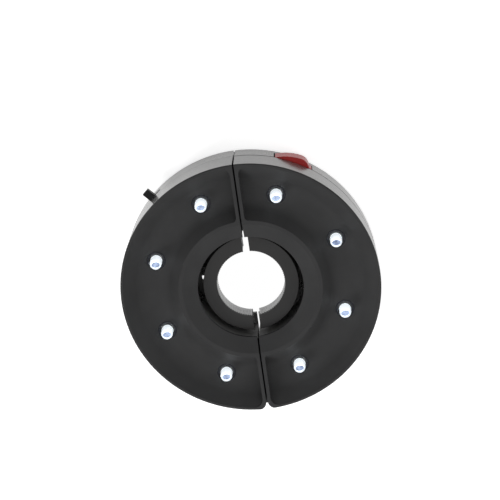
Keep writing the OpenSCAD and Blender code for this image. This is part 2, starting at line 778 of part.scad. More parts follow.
module grip_pad() difference() {
  disc(pad_out_r, jaw_low + jaw_lip_h, jaw_top - jaw_lip_h);
  disc(bore_r, 0, body_h);
  upright(-far, jaw_end_x + 0.2, -far, far, 0, body_h);
}

module jaw_springs() for (s = [1, -1]) translate([post_boss_x + 0.02, s * post_y, post_z])
  rotate([0, 90, 0]) coil(jaw_spring_r, jaw_wire, spring_seat_x - post_boss_x - 0.04, jaw_turns);

// ---------- battery bay ----------

module battery_door() difference() {
  union() {
    upright(door_x[0] + door_gap, door_x[1] - door_gap, -door_y + door_gap, door_y - door_gap,
      door_sink, door_sink + door_t);
    // tabs that hook behind the floor and carry the door as it swings
    for (x = tab_x) {
      upright(x - tab_w / 2, x + tab_w / 2, -door_y + door_gap, -door_y + door_gap + 1.4,
        door_sink, floor_t + clear + door_tab_t);
      upright(x - tab_w / 2, x + tab_w / 2, -door_y - tab_reach + door_gap,
        -door_y + door_gap + eps, floor_t + clear, floor_t + clear + door_tab_t);
    }
    // spring finger at the free end
    upright(mid(bay_x) - finger_w / 2, mid(bay_x) + finger_w / 2, bay_y - 1.2, bay_y - clear,
      door_sink, floor_t + 2 + clear);
  }
  // thumb hollow
  translate([mid(bay_x), bay_y - 6, door_sink - thumb_r + 0.8]) sphere(r = thumb_r);
}
function mid(pair) = (pair[0] + pair[1]) / 2;

// The inner cell points to +Y and the outer one to -Y
module battery_cells() for (i = [0, 1]) translate([cell_axes[i], 0, cell_z])
  rotate([i == 0 ? -90 : 90, 0, 0])
    translate([0, 0, bay_y - contact_t - 0.05 - cell_l]) {
      cylinder(r = cell_r, h = cell_l - nub_l);
      cylinder(r = nub_r, h = cell_l);
    }

module battery_contacts() {
  low = cell_z - contact_w / 2;
  high = cell_z + contact_w / 2 - 1;
  for (x = cell_axes) {
    upright(x - contact_w / 2, x + contact_w / 2, bay_y - contact_t, bay_y, low, high);
    upright(x - solder_tab_w / 2, x + solder_tab_w / 2, bay_y - contact_t, bay_y,
      high - eps, bay_roof_z + solder_tab_h);
  }
  upright(cell_axes[0] - contact_w / 2, cell_axes[1] + contact_w / 2,
    -bay_y, -bay_y + contact_t, low, high);
}

module battery_springs() for (i = [0, 1]) translate([cell_axes[i], 0, cell_z])
  rotate([i == 0 ? 90 : -90, 0, 0]) translate([0, 0, bay_y - contact_t - cell_spring_l + 0.02])
    coil(cell_spring_r, cell_wire, cell_spring_l - 0.04, cell_turns);

// Two wires from the contacts' solder tabs to the LED board
module battery_wires() for (i = [0, 1]) {
  x = cell_axes[i];
  landing = wire_landings[i];
  h = bay_roof_z + wire_d / 2 + 0.3;
  round_wire([[x, bay_y - contact_t - 0.02, h], [x, bay_y - 5, h], [landing[0], landing[1], h],
    [landing[0], landing[1], board_z - 0.02]], wire_d / 2);
}

// ---------- switch ----------

module switch_body() color([0.6, 0.61, 0.63]) rotate([0, 0, switch_angle]) {
  x0 = knob_travel / 2 - switch_body_size[0] / 2;
  y0 = switch_seat_r - switch_body_size[1];
  low = switch_z - switch_body_size[2] / 2;
  upright(x0, x0 + switch_body_size[0], y0, switch_seat_r - 1.3, low, low + switch_body_size[2]);
  // solder lugs
  for (i = [-1:1]) translate([knob_travel / 2 + 4 * i, 0, 0])
    upright(-0.7, 0.7, y0 - 3, y0 + eps, switch_z - 0.3, switch_z + 0.3);
}

module switch_knob() color(dark_plastic) rotate([0, 0, switch_angle]) difference() {
  union() {
    upright(-knob_w / 2, knob_w / 2, switch_seat_r - 0.9, rim_r + knob_proud,
      switch_z - knob_t / 2, switch_z + knob_t / 2);
    upright(-knob_w / 2 - 1.2, knob_w / 2 + 1.2, switch_seat_r - 1, switch_seat_r - 0.3,
      switch_z - knob_t / 2 - 1, switch_z + knob_t / 2 + 1);
  }
  // grip ridges round the knob's end
  for (i = [-2:2]) for (z = [switch_z - knob_t / 2, switch_z + knob_t / 2])
    upright(i - 0.25, i + 0.25, rim_r + 1.2, far, z - 0.25, z + 0.25);
}

// ---------- latch ----------

// The latch's bulge up to where its end begins, and the tighter arc of that end
function latch_arc(u) = latch_bulge - clear
  - (latch_arc_r - sqrt(pow(latch_arc_r, 2) - pow(u - latch_arc_u, 2)));

module latch_outline() {
  lean = acos((latch_end_u - latch_arc_u) / latch_arc_r);
  end_centre = [latch_end_u - latch_end_r * cos(lean), latch_arc(latch_end_u) - latch_end_r * sin(lean)];
  polygon(concat(
    [for (i = [0:11]) let (u = i * latch_end_u / 12) [u, latch_arc(u)]],
    [for (i = [0:8]) let (a = lean + (20 - lean) * i / 8)
      end_centre + latch_end_r * [cos(a), sin(a)]],
    [[latch_l, -3.7], [latch_l, -4.9], [latch_l - 2.2, -5.2], [latch_l - 3, latch_under],
     [latch_relief_u, latch_under], latch_pivot + [2, 1.5], latch_pivot + [-2, 1.5], [0, -3]]));
  translate(latch_pivot) circle(r = latch_hub_r);
}

module latch_lever() color([0.72, 0.1, 0.09]) difference() {
  union() {
    at_latch() translate([0, 0, latch_z]) linear_extrude(latch_h) latch_outline();
    // arm and hook that reach through the split
    upright(-hook_reach, latch_pivot_at[0] - 2, arm_y, arm_y + arm_t, latch_z, latch_z + arm_h);
    upright(-hook_reach, -half_gap - wall_t - 0.4, arm_y - hook_drop, arm_y + 1,
      latch_z, latch_z + arm_h);
  }
  translate(concat(latch_pivot_at, 0)) disc(latch_pin_r + run_fit, 0, body_h);
}

module latch_pin() color(steel) translate(concat(latch_pivot_at, 0))
  disc(latch_pin_r, floor_t + 0.1, cover_h + 2.8);

module latch_spring() color(steel) at_latch()
  translate([latch_spring_u, latch_seat_v + 0.02, latch_z + latch_h / 2]) rotate([-90, 0, 0])
    coil(latch_spring_r, latch_wire, latch_under - latch_seat_v - 0.04, latch_turns);

// ---------- the nodes ----------

module front_housing_left() color(plastic) on_side(-1) front_half(-1, false);
module front_housing_right() color(plastic) front_half(1, true);
module rear_cover_left() color(plastic) on_side(-1) rear_half(-1, false);
module rear_cover_right() color(plastic) rear_half(1, true);
module leds_left() color([0.92, 0.95, 1]) on_side(-1) led_set();
module leds_right() color([0.92, 0.95, 1]) led_set();
module led_board_left() color([0.12, 0.35, 0.2]) on_side(-1) led_board();
module led_board_right() color([0.12, 0.35, 0.2]) led_board();
module board_screws_left() color(steel) on_side(-1) board_screws();
module board_screws_right() color(steel) board_screws();
module cover_screws_left() color(steel) on_side(-1) cover_screws();
module cover_screws_right() color(steel) cover_screws();
module grip_jaw_left() color([0.15, 0.15, 0.15]) on_side(-1) grip_jaw();
module grip_jaw_right() color([0.15, 0.15, 0.15]) grip_jaw();
module grip_pad_left() color([0.3, 0.3, 0.31]) on_side(-1) grip_pad();
module grip_pad_right() color([0.3, 0.3, 0.31]) grip_pad();
module jaw_springs_left() color(steel) on_side(-1) jaw_springs();
module jaw_springs_right() color(steel) jaw_springs();
module hinge_pin() color(steel) translate([0, hinge_y, 0]) disc(pin_r, floor_t + 0.1, hinge_top - 0.6);
module battery_door_left() color(plastic) on_side(-1) battery_door();
module battery_door_right() color(plastic) battery_door();
module battery_cells_left() color([0.2, 0.35, 0.55]) on_side(-1) battery_cells();
module battery_cells_right() color([0.2, 0.35, 0.55]) battery_cells();
module battery_contacts_left() color(steel) on_side(-1) battery_contacts();
module battery_contacts_right() color(steel) battery_contacts();
module battery_springs_left() color(steel) on_side(-1) battery_springs();
module battery_springs_right() color(steel) battery_springs();
module wires_left() color([0.7, 0.1, 0.1]) on_side(-1) battery_wires();
module wires_right() color([0.7, 0.1, 0.1]) battery_wires();

front_housing_left();
front_housing_right();
rear_cover_left();
rear_cover_right();
leds_left();
leds_right();
led_board_left();
led_board_right();
board_screws_left();
board_screws_right();
cover_screws_left();
cover_screws_right();
grip_jaw_left();
grip_jaw_right();
grip_pad_left();
grip_pad_right();
jaw_springs_left();
jaw_springs_right();
hinge_pin();
battery_door_left();
battery_door_right();
battery_cells_left();
battery_cells_right();
battery_contacts_left();
battery_contacts_right();
battery_springs_left();
battery_springs_right();
wires_left();
wires_right();
switch_knob();
switch_body();
latch_lever();
latch_pin();
latch_spring();
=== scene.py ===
"""Looks for the clamp-on patio umbrella light: materials, LEDs, pads, springs, light and camera.

Everything is in metres, in the part's own frame: +Z out of the LED face, the flat back on z = 0,
the bore axis on Z, the hinge at -Y and the latch end at +Y.
"""
import math

import bmesh
import bpy
from mathutils import Matrix, Vector


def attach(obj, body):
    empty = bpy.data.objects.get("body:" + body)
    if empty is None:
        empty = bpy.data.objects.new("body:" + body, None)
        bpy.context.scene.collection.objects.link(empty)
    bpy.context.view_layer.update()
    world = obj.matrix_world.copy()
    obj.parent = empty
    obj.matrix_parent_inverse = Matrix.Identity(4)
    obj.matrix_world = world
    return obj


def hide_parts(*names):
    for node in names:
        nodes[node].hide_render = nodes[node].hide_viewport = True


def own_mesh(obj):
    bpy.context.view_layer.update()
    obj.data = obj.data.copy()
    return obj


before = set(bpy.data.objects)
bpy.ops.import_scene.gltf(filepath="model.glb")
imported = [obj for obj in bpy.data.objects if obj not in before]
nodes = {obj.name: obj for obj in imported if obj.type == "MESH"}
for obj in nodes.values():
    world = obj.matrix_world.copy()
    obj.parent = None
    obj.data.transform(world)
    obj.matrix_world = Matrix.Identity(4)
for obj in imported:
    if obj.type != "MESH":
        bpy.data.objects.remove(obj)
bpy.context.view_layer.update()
MM = 0.001
FACE_Z = 37.4 * MM  # plane of the front lip
HALVES = ((-1, "left"), (1, "right"))  # the sign of x, and the half's name


def show(obj):
    """Puts a new object into the scene."""
    bpy.context.scene.collection.objects.link(obj)


# ---------- camera ----------
# The photograph's camera, solved from the rim's ellipses, the split and the bore.
PHOTO_WIDTH = 500
PIXELS_PER_MM = 1.584
CAMERA_DISTANCE_PX = 1800
CAMERA_TILT = math.radians(18.28)
CAMERA_TURN = math.radians(-1.19)
SPLIT_LEAN = math.radians(7.85)
CENTRE_OFFSET_PX = Vector((0.65, -39.75, 0))
SENSOR_WIDTH = 36
CLIP_START, CLIP_END = 0.05, 20


def photo_camera():
    data = bpy.data.cameras.new("photo_camera")
    data.sensor_width = SENSOR_WIDTH
    data.lens = SENSOR_WIDTH * CAMERA_DISTANCE_PX / PHOTO_WIDTH
    data.clip_start = CLIP_START
    data.clip_end = CLIP_END
    to_camera = Matrix.Rotation(CAMERA_TILT, 3, "X") @ Matrix.Rotation(CAMERA_TURN, 3, "Y")
    from_camera = to_camera.transposed()
    place = from_camera @ (Vector((0, 0, CAMERA_DISTANCE_PX)) - CENTRE_OFFSET_PX)
    lean = Matrix.Rotation(-SPLIT_LEAN, 3, "Z")
    position = lean @ (place / PIXELS_PER_MM * MM) + Vector((0, 0, FACE_Z))
    camera = bpy.data.objects.new("photo_camera", data)
    camera.matrix_world = Matrix.Translation(position) @ (lean @ from_camera).to_4x4()
    show(camera)
    bpy.context.scene.camera = camera


# ---------- node trees ----------


class Nodes:
    """A node tree, with the steps that materials, floor and world share."""

    def __init__(self, tree):
        self.tree = tree

    def put(self, value, socket):
        """Links a node's output to a socket, or sets the socket to a plain value."""
        if isinstance(value, bpy.types.NodeSocket):
            self.tree.links.new(value, socket)
        else:
            socket.default_value = value

    def fill(self, node, **inputs):
        """Puts values into a node's inputs by name, with _ for a space."""
        for name, value in inputs.items():
            self.put(value, node.inputs[name.replace("_", " ")])
        return node

    def add(self, kind, **inputs):
        return self.fill(self.tree.nodes.new(kind), **inputs)

    def math(self, operation, one, two):
        made = self.add("ShaderNodeMath")
        made.operation = operation
        self.put(one, made.inputs[0])
        self.put(two, made.inputs[1])
        return made.outputs[0]

    def over(self, value, limit):
        return self.math("GREATER_THAN", value, limit)

    def under(self, value, limit):
        return self.math("LESS_THAN", value, limit)

    def larger(self, one, two):
        return self.math("MAXIMUM", one, two)

    def product(self, first, *others):
        """The product of factors: 1 where all of them are 1."""
        for other in others:
            first = self.math("MULTIPLY", first, other)
        return first

    def span(self, value, low, high, from_low=0.0, from_high=1.0):
        """Maps from_low to low and from_high to high, and goes no further than those two."""
        made = self.add("ShaderNodeMapRange", Value=value, From_Min=from_low, From_Max=from_high,
                        To_Min=low, To_Max=high)
        return made.outputs["Result"]


# ---------- materials ----------
NOISE_FROM_TO = (0.3, 0.7)  # nearly all of a noise's values lie between these
CLOUD_SCALE, CLOUD_DETAIL = 60, 5.0  # slow changes of colour
GLOSS_SCALE, GLOSS_DETAIL = 35, 3.0  # slow changes of gloss
GLOSS_SWING = 0.15  # how far the roughness of moulded plastic goes up and down, as a share of it
SHELL_GLOSS_SWING = 0.1
GRAIN_DETAIL = 2.0
EDGE_SAMPLES = 6


class Shader(Nodes):
    """A material with a Principled shader, built up step by step."""

    def __init__(self, name, colour, roughness, **sockets):
        self.material = bpy.data.materials.new(name)
        self.material.use_nodes = True
        super().__init__(self.material.node_tree)
        self.bsdf = self.tree.nodes["Principled BSDF"]
        self.give(Base_Color=(*colour, 1), Roughness=roughness, **sockets)
        self.place = self.add("ShaderNodeTexCoord").outputs["Object"]

    def give(self, **sockets):
        """Sets or links the Principled shader's own sockets."""
        self.fill(self.bsdf, **sockets)

    def noise(self, scale, detail, vector=None):
        made = self.add("ShaderNodeTexNoise", Vector=vector or self.place, Scale=scale,
                        Detail=detail)
        return made.outputs["Fac"]

    def mix(self, factor, one, two):
        """A colour between two, each a node's output or three numbers."""
        made = self.add("ShaderNodeMix")
        made.data_type = "RGBA"
        colour_one, colour_two = made.inputs[6:8]  # the ones before are for numbers and vectors
        self.put(factor, made.inputs["Factor"])
        for value, socket in ((one, colour_one), (two, colour_two)):
            self.put(value if isinstance(value, bpy.types.NodeSocket) else (*value, 1), socket)
        return made.outputs[2]

    def vary_roughness(self, scale, low, high):
        self.give(Roughness=self.span(self.noise(scale, GLOSS_DETAIL), low, high, *NOISE_FROM_TO))

    def vary_colour(self, scale, dark, light):
        ramp = self.add("ShaderNodeValToRGB", Fac=self.noise(scale, CLOUD_DETAIL))
        for stop, position, colour in zip(ramp.color_ramp.elements, NOISE_FROM_TO, (dark, light)):
            stop.position = position
            stop.color = (*colour, 1)
        self.give(Base_Color=ramp.outputs["Color"])

    def bump(self, height, depth, edge=0.0):
        """Grain this deep, on edges that look rounded where edge gives them a radius."""
        made = self.add("ShaderNodeBump", Height=height, Strength=1.0, Distance=depth)
        if edge:
            rounded = self.add("ShaderNodeBevel", Radius=edge)
            rounded.samples = EDGE_SAMPLES
            self.fill(made, Normal=rounded.outputs["Normal"])
        self.give(Normal=made.outputs["Normal"])


def grained(name, dark, light, roughness, grain, depth, **sockets):
    """Moulded plastic or rubber: fine grain, and slow changes of colour and gloss."""
    shader = Shader(name, dark, roughness, **sockets)
    shader.vary_colour(CLOUD_SCALE, dark, light)
    shader.vary_roughness(GLOSS_SCALE, roughness * (1 - GLOSS_SWING),
                          roughness * (1 + GLOSS_SWING))
    shader.bump(shader.noise(grain, GRAIN_DETAIL), depth)
    return shader.material


RIM_COAT_IOR = 2.2
RIM_COAT_ROUGHNESS = 0.2
RIM_COAT_TINT = (1, 0.985, 0.97, 1)
SHEEN_FROM_TO = (0.3, 0.68)  # the rim's sheen grows as the surface turns edge-on
RIM_FROM_R, RIM_TO_Z = 81.0 * MM, 36.7 * MM  # the coat lies outside this and below that
# Painted light: inside this radius and between these heights the walls are a lighter grey, standing
# in for light reaching into the gap round the jaws.
WELL_R = 36.4 * MM
WELL_LOW, WELL_HIGH = 0.6 * MM, 31.4 * MM
WELL_PAINTED_LIGHT_GREY = (0.2, 0.2, 0.197)
SHELL_EDGE = 0.35 * MM  # radius of the face's edges


def shell_plastic(name, dark, light, roughness, grain, depth, edge=0.0):
    """The housings: satin black plastic, glossier on the rim, with painted light in the well: its
    walls a lighter grey.
    """
    shader = Shader(name, dark, roughness, Coat_IOR=RIM_COAT_IOR, Coat_Roughness=RIM_COAT_ROUGHNESS,
                    Coat_Tint=RIM_COAT_TINT, Specular_IOR_Level=0.26)
    shader.vary_roughness(GLOSS_SCALE, roughness * (1 - SHELL_GLOSS_SWING),
                          roughness * (1 + SHELL_GLOSS_SWING))
    shader.bump(shader.noise(grain, GRAIN_DETAIL), depth, edge)
    axes = shader.add("ShaderNodeSeparateXYZ", Vector=shader.place).outputs
    in_plan = shader.add("ShaderNodeCombineXYZ", X=axes["X"], Y=axes["Y"])
    length = shader.add("ShaderNodeVectorMath")
    length.operation = "LENGTH"
    shader.put(in_plan.outputs["Vector"], length.inputs[0])
    radius, height = length.outputs["Value"], axes["Z"]
    facing = shader.add("ShaderNodeLayerWeight", Blend=0.5).outputs["Facing"]
    shader.give(Coat_Weight=shader.product(
        shader.over(radius, RIM_FROM_R), shader.under(height, RIM_TO_Z),
        shader.span(facing, 0.0, 1.0, *SHEEN_FROM_TO)))
    # Painted light: the well's walls take a lighter grey.
    painted_light_in_well = shader.product(shader.under(radius, WELL_R), shader.over(height, WELL_LOW),
                             shader.under(height, WELL_HIGH))
    clouds = shader.span(shader.noise(CLOUD_SCALE, CLOUD_DETAIL), 0.0, 1.0, *NOISE_FROM_TO)
    skin = shader.mix(clouds, dark, light)
    shader.give(Base_Color=shader.mix(painted_light_in_well, skin, WELL_PAINTED_LIGHT_GREY))
    return shader.material


BRUSH_STRETCH = (1, 1, 18)
BRUSH_SCALE = 900
BRUSH_DEPTH = 0.00001
BRUSH_SWING = 0.3


def brushed(name, colour, roughness):
    """Drawn or rolled metal with faint lines."""
    shader = Shader(name, colour, roughness, Metallic=1.0)
    stretch = shader.add("ShaderNodeMapping", Vector=shader.place, Scale=BRUSH_STRETCH)
    lines = shader.noise(BRUSH_SCALE, GRAIN_DETAIL, stretch.outputs["Vector"])
    shader.give(Roughness=shader.span(lines, roughness * (1 - BRUSH_SWING),
                                      roughness * (1 + BRUSH_SWING), *NOISE_FROM_TO))
    shader.bump(lines, BRUSH_DEPTH)
    return shader.material


def clear_epoxy():
    shader = Shader("led_epoxy", (0.96, 0.98, 1.0), roughness=0.03, Transmission_Weight=1.0,
                    IOR=1.5)
    shader.vary_roughness(scale=400, low=0.02, high=0.06)
    return shader.material


def led_white_glow():
    """The white body inside an LED, with faint cool clouds, and a glow of painted light that keeps
    it bright white.
    """
    # Painted light: the emission is a glow that keeps the body bright white.
    shader = Shader("led_white_glow", (0.9, 0.94, 1.0), roughness=0.4,
                    Emission_Color=(0.93, 0.97, 1.0, 1), Emission_Strength=0.75)
    shader.vary_colour(scale=420, dark=(0.82, 0.88, 0.97), light=(0.95, 0.97, 1.0))
    return shader.material


def led_chip():
    """The chip and its frame at the bottom of the cup: blue-grey with darker streaks, and a faint
    blue glow of painted light.
    """
    # Painted light: the emission is a faint blue glow.
    shader = Shader("led_chip", (0.2, 0.27, 0.42), roughness=0.3,
                    Emission_Color=(0.25, 0.36, 0.62, 1), Emission_Strength=0.08)
    streaks = shader.noise(scale=650, detail=4.0)
    from_led_to_led = shader.noise(scale=28, detail=1.0)
    patches = shader.math("ADD", streaks, from_led_to_led)
    shade = shader.span(patches, 0.0, 1.0, from_low=0.75, from_high=1.25)
    shader.give(Base_Color=shader.mix(shade, (0.02, 0.045, 0.14), (0.5, 0.6, 0.82)))
    return shader.material


MATERIALS = {
    "face": shell_plastic("face_plastic", (0.026, 0.026, 0.0265), (0.032, 0.032, 0.0325),
                          roughness=0.55, grain=1400, depth=0.00001, edge=SHELL_EDGE),
    "cover": shell_plastic("cover_plastic", (0.016, 0.0158, 0.0155), (0.023, 0.0225, 0.022),
                           roughness=0.4, grain=2600, depth=0.00002),
    "jaw": grained("jaw_plastic", (0.014, 0.0135, 0.0135), (0.019, 0.0185, 0.0185),
                   roughness=0.42, grain=2200, depth=0.00004, Specular_IOR_Level=0.36),
    "rubber": grained("pad_rubber", (0.06, 0.06, 0.06), (0.09, 0.09, 0.088),
                      roughness=0.38, grain=3000, depth=0.00003,
                      Coat_Weight=1.0, Coat_IOR=1.6, Coat_Roughness=0.3),
    "red": grained("latch_red", (0.36, 0.012, 0.011), (0.44, 0.02, 0.018),
                   roughness=0.24, grain=1500, depth=0.00002),
    "knob": grained("knob_plastic", (0.008, 0.008, 0.008), (0.013, 0.013, 0.013),
                    roughness=0.45, grain=2000, depth=0.00004, Specular_IOR_Level=0.3),
    "collar": grained("collar_black", (0.003, 0.003, 0.006), (0.006, 0.006, 0.012),
                      roughness=0.14, grain=900, depth=0.000005, Specular_IOR_Level=0.3),
    "switch": grained("switch_black", (0.006, 0.006, 0.006), (0.01, 0.01, 0.01),
                      roughness=0.5, grain=2000, depth=0.00002),
    "board": grained("board_green", (0.02, 0.12, 0.05), (0.04, 0.2, 0.09),
                     roughness=0.35, grain=700, depth=0.00002),
    "cell": grained("cell_wrap", (0.03, 0.08, 0.22), (0.05, 0.12, 0.3),
                    roughness=0.25, grain=500, depth=0.00001),
    "wire": grained("wire_red", (0.45, 0.03, 0.025), (0.6, 0.06, 0.05),
                    roughness=0.4, grain=1200, depth=0.00002),
    "steel": brushed("zinc_steel", (0.62, 0.62, 0.64), roughness=0.32),
    "spring": brushed("spring_wire", (0.72, 0.72, 0.74), roughness=0.22),
    "nickel": brushed("nickel_sheet", (0.7, 0.69, 0.67), roughness=0.25),
}

# What a node is made of, by the start of its name. The LEDs and pads are replaced below.
NODE_FINISH = {
    "front_housing": "face",
    "rear_cover": "cover",
    "led_board": "board",
    "board_screws": "steel",
    "cover_screws": "steel",
    "grip_jaw": "jaw",
    "jaw_springs": "spring",
    "hinge_pin": "steel",
    "battery_door": "cover",
    "battery_cells": "cell",
    "battery_contacts": "nickel",
    "battery_springs": "spring",
    "wires": "wire",
    "switch_knob": "knob",
    "switch_body": "switch",
    "latch_lever": "red",
    "latch_pin": "steel",
    "latch_spring": "spring",
}


def dress_nodes():
    for name, node in nodes.items():
        for start, finish in NODE_FINISH.items():
            if name.startswith(start):
                for held in node.material_slots:
                    held.material = MATERIALS[finish]


# ---------- mesh helpers ----------
SEGMENTS = 48
LEAD_SEGMENTS = 12


def mesh_object(name, bm, material):
    mesh = bpy.data.meshes.new(name)
    bm.to_mesh(mesh)
    bm.free()
    mesh.materials.append(material)
    obj = bpy.data.objects.new(name, mesh)
    show(obj)
    return obj


def piece(name, bm, material, body):
    bmesh.ops.recalc_face_normals(bm, faces=bm.faces)
    obj = mesh_object(name, bm, material)
    obj.data.shade_smooth()
    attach(obj, body)
    return obj


def circle(bm, centre, radius, height, segments=SEGMENTS):
    """Vertices round a vertical axis."""
    angles = (2 * math.pi * i / segments for i in range(segments))
    return [bm.verts.new(centre + Vector((radius * math.cos(a), radius * math.sin(a), height)))
            for a in angles]


def around(row):
    """Each item with the next, and the last with the first."""
    return zip(row, row[1:] + row[:1])


def band(bm, lower, upper):
    """Faces between two closed rows of vertices."""
    for (one, two), (three, four) in zip(around(lower), around(upper)):
        bm.faces.new((one, two, four, three))


def lathe(bm, profile, centre, segments=SEGMENTS):
    """A closed surface of revolution about a vertical axis; the profile starts and ends on it."""
    rings = [circle(bm, centre, radius, height, segments) for radius, height in profile[1:-1]]
    for lower, upper in zip(rings, rings[1:]):
        band(bm, lower, upper)
    for ring, (_, height) in ((rings[0], profile[0]), (rings[-1], profile[-1])):
        tip = bm.verts.new(centre + Vector((0, 0, height)))
        for one, two in around(ring):
            bm.faces.new((one, two, tip))


def lathe_loop(bm, outline, centre):
    """A ring: a closed outline turned about a vertical axis."""
    rings = [circle(bm, centre, radius, height) for radius, height in outline]
    for lower, upper in around(rings):
        band(bm, lower, upper)


# ---------- LEDs ----------
LED_ANGLES = (22.5, 67.5, 112.5, 157.5)  # from the latch end, on either side
LED_RING = 62.1 * MM
LED_RADIUS = 3.75 * MM
LED_TIP = 37.5 * MM
DOME_STEP = 6  # degrees
FLANGE_R = 4.5 * MM
FLANGE_Z = 24.4 * MM
FLANGE_T = 1.2 * MM
FLANGE_SLOPE = 0.1 * MM
BODY_FOOT = 26.0 * MM
BODY_RIM = 34.7 * MM
BODY_FLOOR = 33.6 * MM
CHIP_LOW, CHIP_HIGH = 33.55 * MM, 33.95 * MM
CHIP_FLATTENING = 0.62  # the chip is this much shorter towards the hinge than across
CHIP_SHIFT = Vector((0, -0.55 * MM, 0))
LEAD_LOW = 21.6 * MM
LEAD_R = 0.3 * MM
LEAD_PITCH = 2.54 * MM
TRAY_Z = 28.0 * MM
COLLAR_OUTLINE = (  # mm: radius, and rise above the tray
    (4.05, -1.7), (4.2, -1.42), (5.8, -0.02), (6.0, 0.02), (6.02, 0.14), (5.85, 0.22),
    (5.6, 0.12), (4.35, -1.0), (4.05, -1.3))


def led_centres(side):
    return [Vector((side * LED_RING * math.sin(angle), LED_RING * math.cos(angle), 0))
            for angle in map(math.radians, LED_ANGLES)]


def dome_profile():
    """The clear epoxy: flange, sides and round tip."""
    flange_top = FLANGE_Z + FLANGE_T
    centre_z = LED_TIP - LED_RADIUS
    arc = [math.radians(a) for a in range(0, 90, DOME_STEP)]
    return (
        [(0, FLANGE_Z), (FLANGE_R, FLANGE_Z), (FLANGE_R, flange_top),
         (LED_RADIUS, flange_top + FLANGE_SLOPE)]
        + [(LED_RADIUS * math.cos(a), centre_z + LED_RADIUS * math.sin(a)) for a in arc]
        + [(0, LED_TIP)])


def body_profile():
    """The white body: foot, outer wall, rim, and down to the shallow floor inside."""
    return [(0, BODY_FOOT), (2.0 * MM, BODY_FOOT), (2.25 * MM, BODY_FOOT + 0.6 * MM),
            (2.35 * MM, BODY_RIM - 0.4 * MM), (2.3 * MM, BODY_RIM), (2.15 * MM, BODY_RIM),
            (2.0 * MM, BODY_FLOOR), (0, BODY_FLOOR)]


def chip_profile():
    """The chip on its low step, a little sunk into the body's floor."""
    return [(0, CHIP_LOW), (1.8 * MM, CHIP_LOW), (1.8 * MM, CHIP_LOW + 0.12 * MM),
            (1.2 * MM, CHIP_LOW + 0.2 * MM), (1.0 * MM, CHIP_HIGH), (0, CHIP_HIGH)]


def lead_profile():
    """One of the two leads, from inside the epoxy down through the board."""
    return [(0, LEAD_LOW), (LEAD_R, LEAD_LOW), (LEAD_R, BODY_FOOT), (0, BODY_FOOT)]


def collar_profile():
    """The glossy black ring round an LED, in the recess of its hole."""
    return [(radius * MM, TRAY_Z + rise * MM) for radius, rise in COLLAR_OUTLINE]


def make_leds():
    parts = (("led_domes", dome_profile(), clear_epoxy()),
             ("led_bodies", body_profile(), led_white_glow()),
             ("led_chips", chip_profile(), led_chip()))
    for side, half in HALVES:
        centres = led_centres(side)
        for name, profile, material in parts:
            bm = bmesh.new()
            for centre in centres:
                first = len(bm.verts)
                lathe(bm, profile, centre)
                if name == "led_chips":
                    bm.verts.ensure_lookup_table()
                    for vert in bm.verts[first:]:
                        vert.co.y = centre.y + (vert.co.y - centre.y) * CHIP_FLATTENING
                        vert.co += CHIP_SHIFT
            obj = piece(f"{name}_{half}", bm, material, f"{half}_half")
            if name == "led_domes":
                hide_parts(f"leds_{half}")
        bm = bmesh.new()
        for centre in centres:
            for step in (-1, 1):
                aside = Vector((step * LEAD_PITCH / 2, 0, 0))
                lathe(bm, lead_profile(), centre + aside, LEAD_SEGMENTS)
        piece(f"led_leads_{half}", bm, MATERIALS["nickel"], f"{half}_half")
        bm = bmesh.new()
        for centre in centres:
            lathe_loop(bm, collar_profile(), centre)
        piece(f"led_collars_{half}", bm, MATERIALS["collar"], f"{half}_half")


# ---------- rubber pads ----------
PAD_BORE_R = 21.5 * MM
PAD_OUTER_R = 23.39 * MM
PAD_RIBS = 44
PAD_RIB_STEPS = 4
PAD_RIB_DEPTH = 0.35 * MM
PAD_LOW, PAD_HIGH = 13.62 * MM, 24.58 * MM
PAD_END_X = 2.3 * MM  # the ribs on the bore end here, on both sides of the slot


def rib_radius(step):
    """Inner radius at a step of the rib pattern: two points on a crest, two in a groove."""
    on_crest = step % PAD_RIB_STEPS in (1, 2)
    return PAD_BORE_R if on_crest else PAD_BORE_R + PAD_RIB_DEPTH


def make_pads():
    steps = PAD_RIBS * PAD_RIB_STEPS
    start = math.acos(PAD_END_X / PAD_BORE_R)
    for side, half in HALVES:
        bm = bmesh.new()
        rows = []
        for i in range(steps + 1):
            a = start - 2 * start * i / steps
            inner = rib_radius(i)
            corners = ((inner, PAD_LOW), (inner, PAD_HIGH), (PAD_OUTER_R, PAD_HIGH),
                       (PAD_OUTER_R, PAD_LOW))
            rows.append([bm.verts.new((side * r * math.cos(a), r * math.sin(a), z))
                         for r, z in corners])
        for one, two in zip(rows, rows[1:]):
            band(bm, one, two)
        bm.faces.new(rows[0])
        bm.faces.new(rows[-1])
        obj = piece(f"ribbed_pad_{half}", bm, MATERIALS["rubber"], f"jaw_{half}")
        obj.data.shade_flat()
        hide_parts(f"grip_pad_{half}")


# ---------- springs, copied onto the housing ---------------
LATCH_ANGLE = math.radians(18.3)
JAW_TRAVEL = 3.2 * MM
LATCH_SPRING_TRAVEL = 1.8 * MM


def make_springs():
    """The CAD coils again, on the housing, each with a mesh of its own; the CAD coils are hidden.
    """
    towards_jaw = Vector((1, 0, 0))
    out_of_rim = Vector((math.sin(LATCH_ANGLE), math.cos(LATCH_ANGLE), 0))
    springs = (("jaw_springs_left", "left_half", "jaw_left_slide", towards_jaw, JAW_TRAVEL),
               ("jaw_springs_right", "right_half", "jaw_right_slide", -towards_jaw, JAW_TRAVEL),
               ("latch_spring", "right_half", "latch_press", out_of_rim, LATCH_SPRING_TRAVEL))
    for name, body, joint, axis, travel in springs:
        source = nodes[name]
        coils = bpy.data.objects.new(f"coils_{name}", source.data.copy())
        show(coils)
        coils.matrix_world = source.matrix_world.copy()
        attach(coils, body)
        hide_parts(name)
        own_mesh(coils)


